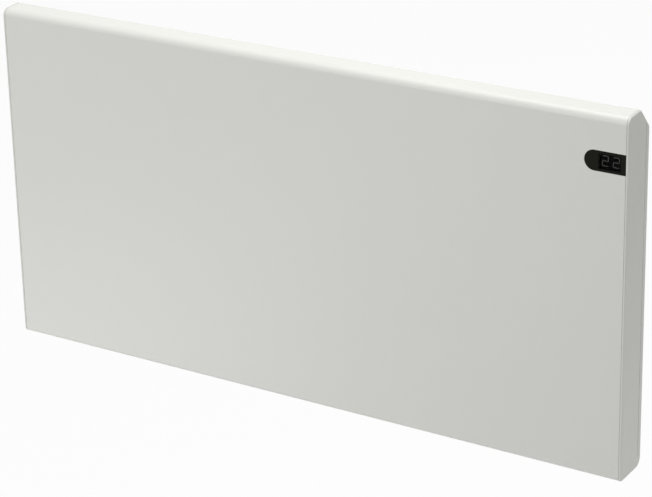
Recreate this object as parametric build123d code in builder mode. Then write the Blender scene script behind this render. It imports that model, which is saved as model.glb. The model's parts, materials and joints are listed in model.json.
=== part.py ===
from build123d import *
from math import floor, hypot, radians, tan
import os

os.makedirs("parts", exist_ok=True)

# ---------------------------------------------------------------------------------------------
# Driving dimensions, in millimetres.
# X runs along the heater, with +X at the display end. The wall is the plane y = 0, the room is
# at -Y, and +Z is up. The origin is the centre of the wall bracket's four screw slots.
# ---------------------------------------------------------------------------------------------

# Casing: the section that runs the whole length of the heater
width = 720.0
height = 370.0
depth = 44.0
standoff = 36.0
origin_height = 190.0
roof_rise = 1.0
ridge_setback = 25.0
slope_drop = 21.0
toe_radius = 4.0
roof_radius = 8.0
ridge_radius = 2.0
slope_foot_radius = 6.0
heel_radius = 10.0

# Sheet metal
front_sheet = 1.0
rear_sheet = 0.8
seam = 0.1
front_return = 14.0
ridge_flange = 6.0
roof_lap = 9.0
rear_toe_setback = 5.0

# Air slots
outlet_pitch = 16.0
outlet_slot_width = 8.0
outlet_slot_length = 14.5
outlet_margin = 30.0
outlet_foot_gap = 4.2
intake_pitch = 46.0
intake_slot_width = 5.0
intake_slot_length = 37.0
intake_row_gap = 9.0
intake_margin = 36.0
intake_setback = 21.0

# End caps
cap_wall = 2.5
cap_gap = 0.3
cap_edge = 0.9
cap_groove_width = 0.7
cap_groove_depth = 0.4
cap_groove_setback = 37.0
spigot_wall = 1.8
spigot_depth = 9.0
cap_rib = 1.5
cap_rib_height = 5.0
cap_rib_pitch = 62.0
boss_width = 8.0
boss_length = 16.0
boss_inset = 8.0
boss_margin = 34.0
boss_web = 2.0

# Screws of the casing
screw_radius = 1.45
screw_pilot_radius = 1.5
screw_hole_radius = 1.9
screw_head_radius = 3.2
screw_head_height = 1.9
screw_length = 9.0
floor_screw_to_shield = 39.2
floor_screw_length = 6.0

# Display
window_length = 42.0
window_height = 20.4
window_drop = 35.5
lens_play = 0.15
lens_flange = 2.0
lens_flange_thickness = 1.0
carrier_margin = 7.0
carrier_depth = 7.2
digit_height = 10.3
digit_width = 6.6
digit_pitch = 11.0
digit_stroke = 0.9
digit_relief = 0.3
digits_from_edge = 16.2
led_block_margin = 2.2
led_block_depth = 5.4
touch_spring_radius = 2.4
touch_spring_spread = 9.6
touch_spring_setback = 8.0

# Boards
board_thickness = 1.6
control_board_height = 74.0
control_board_width = 82.0
power_board_width = 72.0
power_board_height = 160.0
power_board_rise = 130.0
power_board_from_end = 17.0
control_board_from_end = 6.0
control_board_drop = 15.0
tray_margin = 5.0
tray_wall = 2.0
tray_rim = 5.0
tray_standoff = 6.0
tray_post = 8.0
tray_post_inset = 8.0
tray_hook = 3.0
tray_hook_length = 12.0
tray_hook_overlap = 1.2

# What the boards carry: width, length and height, and the place from the board's centre
chip_size = (12.0, 12.0, 1.5)
chip_place = (-14.0, 6.0)
header_size = (16.0, 5.0, 2.5)
header_x = -26.0
header_inset = 8.0
relay_size = (15.5, 29.0, 15.5)
relay_place = (14.0, 20.0)
transformer_size = (24.0, 28.0, 16.0)
transformer_place = (-6.0, 42.0)
transformer_foot = 4.0
transformer_limb = 15.0
transformer_winding = 9.0
relay_edge = 0.8
capacitor_size = (10.0, 18.0, 14.0)
capacitor_place = (-18.0, 4.0)
terminal_place = (-6.0, -60.0)
terminal_count = 4
terminal_pitch = 10.0
terminal_depth = 13.0
terminal_height = 15.0
terminal_screw_well = 5.5
terminal_well_depth = 6.0
terminal_entry = 6.5
terminal_entry_depth = 5.0

# Heating element
element_from_left = 48.0
element_to_shield = 28.4
element_rise = 88.0
element_setback = 19.5
core_radius = 4.0
core_play = 0.05
core_stub = 24.0
tab_width = 6.3
tab_thickness = 0.8
tab_length = 6.0
terminal_length = 12.0
fin_tube_radius = 6.0
fin_thickness = 1.6
fin_half_height = 29.0
fin_half_depth = 12.5
bush_width = 16.0
bush_flange_width = 21.0
bush_flange = 2.0
bush_length = 8.0
bush_play = 0.05
support_gap = 5.0
support_sheet = 1.0
support_height = 84.0
support_flange = 12.0
support_front_gap = 5.0
baffle_sheet = 0.5
baffle_height = 190.0
baffle_lift = 22.0
baffle_fold = 8.0
cutout_radius = 8.0
cutout_height = 6.0
cutout_flange = 1.0
cutout_flange_length = 24.0
cutout_flange_width = 6.4
cutout_rise = 158.0
cutout_from_right = 60.0
shield_from_end = 108.0
shield_sheet = 0.8
shield_flange = 8.0
shield_top_gap = 48.0
shield_corner = 40.0

# Wires inside the casing
lead_radius = 1.4
lead_sides = 5
lead_bend = 6.0
lead_start = 6.0
lead_turn = 11.0
lead_dip = 14.0
wire_hole = 9.0
long_lead_rise = 40.0
clip_length = 9.0
clip_wall = 1.2
clip_pitch = 165.0
clip_margin = 45.0
clip_play = 0.05
ribbon_width = 14.0
ribbon_thickness = 0.8

# Room sensor
sensor_from_end = 24.0
sensor_holder_width = 9.0
sensor_holder_depth = 12.0
sensor_holder_height = 13.0
sensor_vent = 6.0
sensor_radius = 2.0
sensor_length = 9.0

# Mains side
grommet_bore_radius = 4.0
grommet_radius = 7.0
grommet_flange_radius = 10.0
grommet_flange = 1.6
grommet_nose = 7.6
grommet_from_end = 64.0
grommet_rise = 21.5
earth_from_end = 92.0
earth_tab_length = 9.0
earth_tab_foot = 8.0

# Power switch, on the underside near the display end
switch_from_end = 62.0
switch_setback = 24.6
bezel_length = 21.0
bezel_width = 15.0
bezel_thickness = 1.1
bezel_edge = 0.4
switch_body_length = 19.0
switch_body_width = 12.6
switch_body_depth = 14.0
switch_play = 0.2
switch_tag_count = 3
switch_tag_pitch = 6.4
rocker_radius = 8.2
rocker_width = 9.6
rocker_play = 0.3
rocker_crown = 4.0
rocker_shoulder = 1.5
rocker_headroom = 4.6
rocker_angle = 9.0
rocker_pin_radius = 1.5
rocker_pin_play = 0.05
rocker_pin_length = 12.0
rocker_pivot_depth = 3.4

# Wall bracket
screw_span = 400.0
screw_rise = 120.0
wall_slot_radius = 2.75
wall_slot_length = 12.0
bracket_sheet = 1.5
leg_width = 40.0
leg_height = 256.0
leg_flange_depth = 13.0
hook_rise = 210.0
hook_arm_height = 24.0
hook_arm_spread = 10.0
hook_height = 8.0
hook_lip = 10.0
hook_lip_thickness = 4.0
hook_lip_chamfer = 2.0
hook_throat_play = 0.7
hook_rear_gap = 0.3
hook_seat_gap = 0.15
hook_side_play = 1.0
lift = 12.0
lift_spare = 1.0
crossbar_rise = 176.0
crossbar_height = 22.0
crossbar_lap = 11.0
crossbar_fold = 5.0
crossbar_notch_play = 0.5
strip_width = 13.0
strip_thickness = 0.6
strip_foot_rise = 72.0
strip_foot_length = 20.0
nose_rise = 126.0
nose_reach = 3.1
nose_half_height = 6.0
nose_root_gap = 2.6
strip_window_play = 1.6
strip_window_half_height = 5.0

# ---------------------------------------------------------------------------------------------
# Planes and levels worked out from the sizes above
# ---------------------------------------------------------------------------------------------
front_y = -(standoff + depth)
rear_y = -standoff
ridge_y = front_y + ridge_setback
underside_z = -origin_height
ridge_z = underside_z + height
roof_z = ridge_z - roof_rise
slope_foot_z = ridge_z - slope_drop
end_x = width / 2
panel_end_x = end_x - cap_wall - cap_gap
panel_length = 2 * panel_end_x

panel_inner_y = front_y + front_sheet
back_inset = front_sheet + seam
back_outer_y = rear_y - back_inset
back_inner_y = back_outer_y - rear_sheet
floor_outer_z = underside_z + back_inset
floor_inner_z = floor_outer_z + rear_sheet
back_seat_y = back_inner_y - seam


def body_outline(inset):
    """Section of the body in (y, z), drawn a given distance inside the outer skin."""
    corners = (
        (front_y, underside_z, toe_radius),
        (front_y, roof_z, roof_radius),
        (ridge_y, ridge_z, ridge_radius),
        (rear_y, slope_foot_z, slope_foot_radius),
        (rear_y, underside_z, heel_radius),
    )
    with BuildSketch() as outline:
        with BuildLine():
            Polyline([(y, z) for y, z, radius in corners], close=True)
        make_face()
        for y, z, radius in corners:
            fillet(outline.vertices().sort_by_distance((y, z, 0))[0], radius=radius)
        if inset:
            offset(amount=-inset)
    return outline.sketch


skin = body_outline(0)
skin_inside = body_outline(front_sheet)
back_outside = body_outline(back_inset)
back_inside = body_outline(back_inset + rear_sheet)
spigot_inset = back_inset + rear_sheet + seam
spigot_outside = body_outline(spigot_inset)
spigot_inside = body_outline(spigot_inset + spigot_wall)


def at_y(y):
    """Plane across the heater at a depth y: sketches read (x, z) and extrude towards the room."""
    return Plane.XZ.offset(-y)


def save(part, name):
    part.label = name
    export_step(part, f"parts/{name}.step")


# Window in the front panel, open to the panel's right edge
window_left_x = panel_end_x - window_length
window_radius = window_height / 2
window_z = roof_z - window_drop - window_radius


def window_outline(grow, right_x):
    """Stadium with a half-round left end and a square right end at right_x, grown all round."""
    centre_x = window_left_x + window_radius
    radius = window_radius + grow
    with BuildSketch() as outline:
        with Locations((centre_x, window_z)):
            Circle(radius)
        with Locations(((centre_x + right_x) / 2, window_z)):
            Rectangle(right_x - centre_x, 2 * radius)
    return outline.sketch


# Screw places shared by the sheets and by what the screws hold
boss_x = end_x - cap_wall - boss_inset
boss_low_z = underside_z + boss_margin
boss_high_z = slope_foot_z - boss_margin
boss_levels = (boss_low_z, boss_high_z)
floor_screw_y = front_y + front_return / 2

# Bracket legs and their hooks, in the frame of the whole heater
leg_xs = (-screw_span / 2, screw_span / 2)
flange_offset = (leg_width - bracket_sheet) / 2
hook_levels = (-hook_rise / 2, hook_rise / 2)
hook_xs = [leg_x + side * flange_offset for leg_x in leg_xs for side in (-1, 1)]
hook_slot_width = bracket_sheet + 2 * hook_side_play
hook_slot_top = hook_seat_gap
hook_slot_bottom = -(hook_height + lift + lift_spare)

# Shield beside the electronics, the element's axis with its two supports, and the floor screws
element_y = front_y + element_setback
element_z = underside_z + element_rise
shield_x = panel_end_x - shield_from_end
element_left_x = -panel_end_x + element_from_left
element_right_x = shield_x - element_to_shield
element_length = element_right_x - element_left_x
support_left_x = element_left_x - support_gap
support_right_x = element_right_x + support_gap
support_front_y = panel_inner_y + support_front_gap
floor_screw_x = shield_x - floor_screw_to_shield
floor_screw_xs = (-floor_screw_x, floor_screw_x)

# Electronics at the display end
tray_floor_y = back_seat_y - tray_wall
board_rear_y = tray_floor_y - tray_standoff
board_front_y = board_rear_y - board_thickness
power_board_x = panel_end_x - power_board_from_end - power_board_width / 2
power_board_z = underside_z + power_board_rise
control_rear_y = panel_inner_y + carrier_depth + board_thickness
control_board_x = panel_end_x - control_board_from_end - control_board_width / 2
control_board_z = roof_z - control_board_drop - control_board_height / 2

# ---------------------------------------------------------------------------------------------
# Front panel: one folded sheet with a rolled top edge, a flange over the ridge and a return
# under the toe, with the display window punched in from its right edge
# ---------------------------------------------------------------------------------------------
slope_length = hypot(rear_y - ridge_y, slope_drop)
slope_run = (rear_y - ridge_y) / slope_length
slope_fall = slope_drop / slope_length
flange_end_z = ridge_z - ridge_flange * slope_fall
inside_of_return_y = front_y + front_return

with BuildPart() as front_panel:
    with BuildSketch(Plane.YZ.offset(-panel_end_x)):
        add(skin)
        add(skin_inside, mode=Mode.SUBTRACT)
        with Locations((inside_of_return_y, flange_end_z)):
            Rectangle(depth, height, align=(Align.MIN, Align.MAX), mode=Mode.SUBTRACT)
    extrude(amount=panel_length)
    with BuildSketch(at_y(front_y)):
        add(window_outline(0, end_x))
    extrude(amount=-front_sheet, mode=Mode.SUBTRACT)
    with BuildSketch(Plane.XY.offset(underside_z)):
        with Locations([(x, floor_screw_y) for x in floor_screw_xs]):
            Circle(screw_hole_radius)
    extrude(amount=front_sheet, mode=Mode.SUBTRACT)
save(front_panel.part, "front_panel")

# ---------------------------------------------------------------------------------------------
# Rear panel: one folded sheet that tucks under the roof and over the toe return. The sloping
# outlet behind the ridge is punched along its whole length, and so is the intake underneath.
# ---------------------------------------------------------------------------------------------
slope_mid_y = (ridge_y + rear_y) / 2
slope_mid_z = ridge_z - slope_drop / 2
slope_plane = Plane(origin=(0, slope_mid_y, slope_mid_z), x_dir=(1, 0, 0), z_dir=(0, slope_fall, slope_run))
outlet_count = floor((panel_length - 2 * outlet_margin) / outlet_pitch) + 1
outlet_shift = slope_length / 2 - outlet_foot_gap - outlet_slot_length / 2
intake_right_x = shield_x - intake_margin / 2
intake_left_x = -panel_end_x + intake_margin
intake_count = floor((intake_right_x - intake_left_x) / intake_pitch) + 1
intake_mid_x = intake_left_x + (intake_count - 1) * intake_pitch / 2
intake_ys = (front_y + intake_setback, front_y + intake_setback + intake_row_gap)
grommet_x = panel_end_x - grommet_from_end
grommet_z = underside_z + grommet_rise
earth_x = panel_end_x - earth_from_end
switch_x = panel_end_x - switch_from_end
switch_y = front_y + switch_setback
sheet_cut = 3 * rear_sheet

with BuildPart() as rear_panel:
    with BuildSketch(Plane.YZ.offset(-panel_end_x)):
        add(back_outside)
        add(back_inside, mode=Mode.SUBTRACT)
        with Locations((ridge_y - roof_lap, underside_z + toe_radius + back_inset)):
            Rectangle(depth, height, align=(Align.MAX, Align.MIN), mode=Mode.SUBTRACT)
        with Locations((front_y + rear_toe_setback, underside_z)):
            Rectangle(depth, height, align=(Align.MAX, Align.MIN), mode=Mode.SUBTRACT)
    extrude(amount=panel_length)
    with BuildSketch(slope_plane):
        with Locations((0, outlet_shift)):
            with GridLocations(outlet_pitch, 1, outlet_count, 1):
                Rectangle(outlet_slot_width, outlet_slot_length)
    extrude(amount=sheet_cut, both=True, mode=Mode.SUBTRACT)
    with BuildSketch(Plane.XY.offset(floor_outer_z)):
        for y in intake_ys:
            with Locations((intake_mid_x, y)):
                with GridLocations(intake_pitch, 1, intake_count, 1):
                    Rectangle(intake_slot_length, intake_slot_width)
        with Locations([(x, floor_screw_y) for x in floor_screw_xs]):
            Circle(screw_pilot_radius)
        with Locations((switch_x, switch_y)):
            Rectangle(switch_body_length + 2 * switch_play, switch_body_width + 2 * switch_play)
    extrude(amount=rear_sheet, mode=Mode.SUBTRACT)
    with BuildSketch(at_y(back_outer_y)):
        for hook_z in hook_levels:
            with Locations([(x, hook_z + (hook_slot_top + hook_slot_bottom) / 2) for x in hook_xs]):
                Rectangle(hook_slot_width, hook_slot_top - hook_slot_bottom)
        with Locations([(x, nose_rise) for x in leg_xs]):
            Rectangle(strip_width + 2 * strip_window_play, 2 * strip_window_half_height)
        with Locations([(side * boss_x, z) for side in (-1, 1) for z in boss_levels]):
            Circle(screw_hole_radius)
        with Locations((grommet_x, grommet_z)):
            Circle(grommet_radius)
    extrude(amount=rear_sheet, mode=Mode.SUBTRACT)
save(rear_panel.part, "rear_panel")

# ---------------------------------------------------------------------------------------------
# End caps: moulded plates with the body's own outline, a spigot that fits inside the folded
# sheets, a ladder of ribs and two screw bosses that face the rear panel
# ---------------------------------------------------------------------------------------------
plate_inner_x = end_x - cap_wall
spigot_back_y = rear_y - spigot_inset
spigot_mid_y = (front_y + spigot_inset + spigot_back_y) / 2
spigot_span = spigot_back_y - (front_y + spigot_inset)
rib_count = floor((slope_foot_z - underside_z - 2 * heel_radius) / cap_rib_pitch) + 1
rib_mid_z = (slope_foot_z + underside_z) / 2
groove_y = front_y + cap_groove_setback
groove_low_z = underside_z + heel_radius
groove_high_z = slope_foot_z + (rear_y - groove_y) * slope_fall / slope_run

with BuildPart() as cap_blank:
    with BuildSketch(Plane.YZ.offset(plate_inner_x)):
        add(skin)
    extrude(amount=cap_wall)
    chamfer(cap_blank.faces().sort_by(Axis.X)[-1].edges(), length=cap_edge)
    with BuildSketch(Plane.YZ.offset(end_x)):
        with Locations((groove_y, (groove_low_z + groove_high_z) / 2)):
            Rectangle(cap_groove_width, groove_high_z - groove_low_z - 2 * cap_groove_width)
    extrude(amount=-cap_groove_depth, mode=Mode.SUBTRACT)
    with BuildSketch(Plane.YZ.offset(plate_inner_x)):
        add(spigot_outside)
        add(spigot_inside, mode=Mode.SUBTRACT)
    extrude(amount=-spigot_depth)
    with BuildSketch(Plane.YZ.offset(plate_inner_x)):
        with Locations((spigot_mid_y, rib_mid_z)):
            with GridLocations(1, cap_rib_pitch, 1, rib_count):
                Rectangle(spigot_span, cap_rib)
    extrude(amount=-cap_rib_height)
    with BuildSketch(at_y(back_seat_y)):
        with Locations([(boss_x, z) for z in boss_levels]):
            Rectangle(boss_width, boss_width)
        with Locations([((boss_x + plate_inner_x) / 2, z) for z in boss_levels]):
            Rectangle(plate_inner_x - boss_x, boss_web)
    extrude(amount=boss_length)
    with BuildSketch(at_y(back_seat_y)):
        with Locations([(boss_x, z) for z in boss_levels]):
            Circle(screw_pilot_radius)
    extrude(amount=screw_length, mode=Mode.SUBTRACT)

with BuildPart() as end_cap_left:
    mirror(cap_blank.part, about=Plane.YZ)
save(end_cap_left.part, "end_cap_left")

carrier_left_x = window_left_x - carrier_margin
carrier_right_x = panel_end_x - seam
carrier_half_height = window_radius + carrier_margin

# The right cap's spigot is cut away beside the window, so that the display lies against the sheet
with BuildPart() as end_cap_right:
    add(cap_blank.part)
    notch_depth = spigot_inset + spigot_wall + carrier_depth
    with BuildSketch(at_y(front_y + front_sheet - seam)):
        with Locations((plate_inner_x, window_z)):
            Rectangle(
                2 * spigot_depth,
                2 * (carrier_half_height + cap_gap),
                align=(Align.MAX, Align.CENTER),
            )
    extrude(amount=-notch_depth, mode=Mode.SUBTRACT)
save(end_cap_right.part, "end_cap_right")

# ---------------------------------------------------------------------------------------------
# Display: a smoked lens flush in the window, the carrier behind it, a two-digit module, the
# touch springs and the control board
# ---------------------------------------------------------------------------------------------
digits_x = panel_end_x - digits_from_edge
led_block_width = digit_pitch + digit_width + 2 * led_block_margin
led_block_height = digit_height + 2 * led_block_margin
lens_flange_rear_y = panel_inner_y + lens_flange_thickness
spring_x = window_left_x + touch_spring_setback
spring_pocket = 2 * (touch_spring_radius + seam)
spring_places = [(spring_x, window_z + side * touch_spring_spread / 2) for side in (-1, 1)]

with BuildPart() as display_window:
    with BuildSketch(at_y(front_y)):
        add(window_outline(-lens_play, panel_end_x))
    extrude(amount=-front_sheet)
    with BuildSketch(at_y(panel_inner_y)):
        add(window_outline(lens_flange, panel_end_x))
    extrude(amount=-lens_flange_thickness)
save(display_window.part, "display_window")

with BuildPart() as display_carrier:
    with BuildSketch(at_y(panel_inner_y)):
        with Locations(((carrier_left_x + carrier_right_x) / 2, window_z)):
            Rectangle(carrier_right_x - carrier_left_x, 2 * carrier_half_height)
    extrude(amount=-carrier_depth)
    with BuildSketch(at_y(panel_inner_y)):
        add(window_outline(lens_flange + seam, end_x))
    extrude(amount=-(lens_flange_thickness + seam), mode=Mode.SUBTRACT)
    with BuildSketch(at_y(panel_inner_y)):
        with Locations((digits_x, window_z)):
            Rectangle(led_block_width + 2 * seam, led_block_height + 2 * seam)
        with Locations((spring_x, window_z)):
            Rectangle(spring_pocket, touch_spring_spread + spring_pocket)
    extrude(amount=-carrier_depth, mode=Mode.SUBTRACT)
save(display_carrier.part, "display_carrier")

led_front_y = panel_inner_y + carrier_depth - led_block_depth

with BuildPart() as led_module:
    with BuildSketch(at_y(led_front_y)):
        with Locations((digits_x, window_z)):
            Rectangle(led_block_width, led_block_height)
    extrude(amount=-led_block_depth)
save(led_module.part, "led_module")


def segment_bars(centre_x):
    """Seven bars of one digit: three across and two on each side, with mitre-sized gaps."""
    half_w = (digit_width - digit_stroke) / 2
    half_h = (digit_height - digit_stroke) / 2
    with Locations([(centre_x, window_z + level * half_h) for level in (-1, 0, 1)]):
        Rectangle(digit_width - 2 * digit_stroke, digit_stroke)
    upright = [(side * half_w, level * half_h / 2) for side in (-1, 1) for level in (-1, 1)]
    with Locations([(centre_x + x, window_z + z) for x, z in upright]):
        Rectangle(digit_stroke, half_h - digit_stroke)


with BuildPart() as digit_segments:
    with BuildSketch(at_y(led_front_y)):
        for side in (-1, 1):
            segment_bars(digits_x + side * digit_pitch / 2)
    extrude(amount=digit_relief)
save(digit_segments.part, "digit_segments")

with BuildPart() as touch_springs:
    with BuildSketch(at_y(lens_flange_rear_y)):
        with Locations(spring_places):
            Circle(touch_spring_radius)
    extrude(amount=-(carrier_depth - lens_flange_thickness))
save(touch_springs.part, "touch_springs")

header_width, header_length, header_height = header_size
header_spot_x = control_board_x + header_x
control_header_z = control_board_z - control_board_height / 2 + header_inset
power_header_z = power_board_z + power_board_height / 2 - header_inset

with BuildPart() as control_board:
    with BuildSketch(at_y(control_rear_y)):
        with Locations((control_board_x, control_board_z)):
            Rectangle(control_board_width, control_board_height)
    extrude(amount=board_thickness)
    with BuildSketch(at_y(control_rear_y)):
        with Locations((control_board_x + chip_place[0], control_board_z + chip_place[1])):
            Rectangle(chip_size[0], chip_size[1])
    extrude(amount=-chip_size[2])
    with BuildSketch(at_y(control_rear_y)):
        with Locations((header_spot_x, control_header_z)):
            Rectangle(header_width, header_length)
    extrude(amount=-header_height)
save(control_board.part, "control_board")

# ---------------------------------------------------------------------------------------------
# Power side: a plastic tray on the rear panel carries the power board on four posts and between
# two snap hooks. The board has a relay, a supply transformer, a capacitor and a terminal block.
# ---------------------------------------------------------------------------------------------
tray_width = power_board_width + 2 * tray_margin
tray_height = power_board_height + 2 * tray_margin
post_span_x = power_board_width - 2 * tray_post_inset
post_span_z = power_board_height - 2 * tray_post_inset
hook_centre_x = (power_board_width + tray_hook) / 2 + seam
hook_reach = board_rear_y - board_front_y + seam

with BuildPart() as board_tray:
    with BuildSketch(at_y(back_inner_y)):
        with Locations((power_board_x, power_board_z)):
            Rectangle(tray_width, tray_height)
    extrude(amount=tray_wall)
    with BuildSketch(at_y(tray_floor_y)):
        with Locations((power_board_x, power_board_z)):
            Rectangle(tray_width, tray_height)
            Rectangle(tray_width - 2 * tray_wall, tray_height - 2 * tray_wall, mode=Mode.SUBTRACT)
    extrude(amount=tray_rim)
    with BuildSketch(at_y(tray_floor_y)):
        with Locations((power_board_x, power_board_z)):
            with GridLocations(post_span_x, post_span_z, 2, 2):
                Rectangle(tray_post, tray_post)
    extrude(amount=tray_standoff)
    for side in (-1, 1):
        with BuildSketch(at_y(tray_floor_y)):
            with Locations((power_board_x + side * hook_centre_x, power_board_z)):
                Rectangle(tray_hook, tray_hook_length)
        extrude(amount=tray_standoff + hook_reach)
        with BuildSketch(at_y(board_front_y - seam)):
            with Locations((power_board_x + side * (hook_centre_x - tray_hook_overlap / 2), power_board_z)):
                Rectangle(tray_hook + tray_hook_overlap, tray_hook_length)
        extrude(amount=tray_hook / 2)
save(board_tray.part, "board_tray")

with BuildPart() as power_board:
    with BuildSketch(at_y(board_rear_y)):
        with Locations((power_board_x, power_board_z)):
            Rectangle(power_board_width, power_board_height)
    extrude(amount=board_thickness)
    with BuildSketch(at_y(board_front_y)):
        with Locations((header_spot_x, power_header_z)):
            Rectangle(header_width, header_length)
    extrude(amount=header_height)
save(power_board.part, "power_board")


def power_spot(place):
    """Place on the power board as (x, z) of the heater."""
    return (power_board_x + place[0], power_board_z + place[1])


with BuildPart() as power_relay:
    with BuildSketch(at_y(board_front_y)):
        with Locations(power_spot(relay_place)):
            Rectangle(relay_size[0], relay_size[1])
    extrude(amount=relay_size[2])
    chamfer(power_relay.faces().sort_by(Axis.Y)[0].edges(), length=relay_edge)
save(power_relay.part, "power_relay")

# Supply transformer: a foot, a laminated limb across it and the winding round the limb
transformer_width, transformer_length, transformer_height = transformer_size
limb_height = transformer_height - transformer_foot

with BuildPart() as supply_transformer:
    with BuildSketch(at_y(board_front_y)):
        with Locations(power_spot(transformer_place)):
            Rectangle(transformer_width, transformer_length)
    extrude(amount=transformer_foot)
    with BuildSketch(at_y(board_front_y - transformer_foot)):
        with Locations(power_spot(transformer_place)):
            Rectangle(transformer_width, transformer_limb)
    extrude(amount=limb_height)
    with BuildSketch(at_y(board_front_y - transformer_foot)):
        with Locations(power_spot(transformer_place)):
            Rectangle(transformer_limb, transformer_width)
    extrude(amount=transformer_winding)
save(supply_transformer.part, "supply_transformer")

with BuildPart() as filter_capacitor:
    with BuildSketch(at_y(board_front_y)):
        with Locations(power_spot(capacitor_place)):
            Rectangle(capacitor_size[0], capacitor_size[1])
    extrude(amount=capacitor_size[2])
save(filter_capacitor.part, "filter_capacitor")

terminal_x, terminal_z = power_spot(terminal_place)
entry_y = board_front_y - terminal_depth / 2
entry_low_z = terminal_z - terminal_height / 2

with BuildPart() as terminal_block:
    with BuildSketch(at_y(board_front_y)):
        with Locations((terminal_x, terminal_z)):
            Rectangle(terminal_count * terminal_pitch, terminal_height)
    extrude(amount=terminal_depth)
    with BuildSketch(at_y(board_front_y - terminal_depth)):
        with Locations((terminal_x, terminal_z)):
            with GridLocations(terminal_pitch, 1, terminal_count, 1):
                Rectangle(terminal_screw_well, terminal_screw_well)
    extrude(amount=-terminal_well_depth, mode=Mode.SUBTRACT)
    with BuildSketch(Plane.XY.offset(entry_low_z)):
        with Locations((terminal_x, entry_y)):
            with GridLocations(terminal_pitch, 1, terminal_count, 1):
                Rectangle(terminal_entry, terminal_entry)
    extrude(amount=terminal_entry_depth, mode=Mode.SUBTRACT)
save(terminal_block.part, "terminal_block")

# The ribbon drops behind the control board and turns back to the power board's header
ribbon_start_y = control_rear_y + header_height
ribbon_end_y = board_front_y - header_height
ribbon_mid_y = (ribbon_start_y + ribbon_end_y) / 2

with BuildPart() as ribbon_cable:
    with BuildSketch(Plane.YZ.offset(header_spot_x - ribbon_width / 2)):
        with BuildLine():
            Polyline(
                (ribbon_start_y, control_header_z),
                (ribbon_mid_y, control_header_z),
                (ribbon_mid_y, power_header_z),
                (ribbon_end_y, power_header_z),
            )
            offset(amount=ribbon_thickness, side=Side.LEFT, kind=Kind.INTERSECTION)
        make_face()
    extrude(amount=ribbon_width)
save(ribbon_cable.part, "ribbon_cable")


def casing_screw(length):
    """Hexagon-head tapping screw, its head resting on z = 0 and its shank below."""
    with BuildPart() as screw:
        with BuildSketch():
            RegularPolygon(screw_head_radius, 6)
        extrude(amount=screw_head_height)
        with BuildSketch():
            Circle(screw_radius)
        extrude(amount=-length)
    return screw.part


rear_screw = casing_screw(screw_length)
floor_screw = casing_screw(floor_screw_length)

with BuildPart() as end_cap_screws:
    for side in (-1, 1):
        for z in boss_levels:
            with Locations(Plane(origin=(side * boss_x, back_outer_y, z), z_dir=(0, 1, 0))):
                add(rear_screw)
save(end_cap_screws.part, "end_cap_screws")

with BuildPart() as underside_screws:
    for x in floor_screw_xs:
        with Locations(Plane(origin=(x, floor_screw_y, underside_z), z_dir=(0, 0, -1))):
            add(floor_screw)
save(underside_screws.part, "underside_screws")

# ---------------------------------------------------------------------------------------------
# Heating element: a sheathed core in an aluminium profile with four swept wings, held at both
# ends by ceramic bushes in folded steel supports
# ---------------------------------------------------------------------------------------------
core_left_x = element_left_x - core_stub
core_length = element_length + 2 * core_stub

with BuildPart() as element_core:
    with BuildSketch(Plane.YZ.offset(core_left_x)):
        with Locations((element_y, element_z)):
            Circle(core_radius)
    extrude(amount=core_length)
    with BuildSketch(Plane.YZ.offset(core_left_x - terminal_length)):
        with Locations((element_y, element_z)):
            Rectangle(tab_thickness, tab_width)
    extrude(amount=core_length + 2 * terminal_length)
save(element_core.part, "element_core")

wing_y = fin_half_depth - fin_thickness / 2
wing_height = fin_half_height - wing_y + fin_thickness / 2
wing_z = fin_half_height - wing_height / 2

with BuildPart() as element_fins:
    with BuildSketch(Plane.YZ.offset(element_left_x)):
        with Locations((element_y, element_z)):
            Circle(fin_tube_radius)
            for angle in (-45, 45):
                Rectangle(2 * hypot(wing_y, wing_y), fin_thickness, rotation=angle)
            with GridLocations(2 * wing_y, 2 * wing_z, 2, 2):
                Rectangle(fin_thickness, wing_height)
            Circle(core_radius + core_play, mode=Mode.SUBTRACT)
    extrude(amount=element_length)
save(element_fins.part, "element_fins")

# Each bush is a square ceramic block through its support, with a flange on the element's side
with BuildPart() as element_bushes:
    for plate_x, side in ((support_left_x, -1), (support_right_x, 1)):
        with BuildSketch(Plane.YZ.offset(plate_x)):
            with Locations((element_y, element_z)):
                Rectangle(bush_flange_width, bush_flange_width)
        extrude(amount=-side * bush_flange)
        with BuildSketch(Plane.YZ.offset(plate_x)):
            with Locations((element_y, element_z)):
                Rectangle(bush_width, bush_width)
        extrude(amount=side * (bush_length - bush_flange))
        with BuildSketch(Plane.YZ.offset(plate_x - side * bush_flange)):
            with Locations((element_y, element_z)):
                Circle(core_radius + bush_play)
        extrude(amount=side * bush_length, mode=Mode.SUBTRACT)
save(element_bushes.part, "element_bushes")

# Each support is an upright plate with a hole for its bush, spot-welded to the rear panel by its flange
for name, plate_x, side in (
    ("element_support_left", support_left_x, -1),
    ("element_support_right", support_right_x, 1),
):
    with BuildPart() as element_support:
        with BuildSketch(Plane.YZ.offset(plate_x)):
            with Locations(((back_inner_y + support_front_y) / 2, element_z)):
                Rectangle(back_inner_y - support_front_y, support_height)
            with Locations((element_y, element_z)):
                Rectangle(bush_width + 2 * seam, bush_width + 2 * seam, mode=Mode.SUBTRACT)
        extrude(amount=side * support_sheet)
        with BuildSketch(at_y(back_inner_y)):
            with Locations((plate_x + side * support_flange / 2, element_z)):
                Rectangle(support_flange, support_height)
        extrude(amount=support_sheet)
        with BuildSketch(at_y(support_front_y)):
            with Locations((plate_x + side * support_flange / 2, element_z)):
                Rectangle(support_flange, support_height)
        extrude(amount=-support_sheet)
    save(element_support.part, name)

# Baffle: a bright sheet between the element and the front panel, folded at its top and foot
baffle_low_z = underside_z + baffle_lift
baffle_high_z = baffle_low_z + baffle_height
baffle_length = support_right_x - support_left_x + 2 * support_flange

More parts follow.
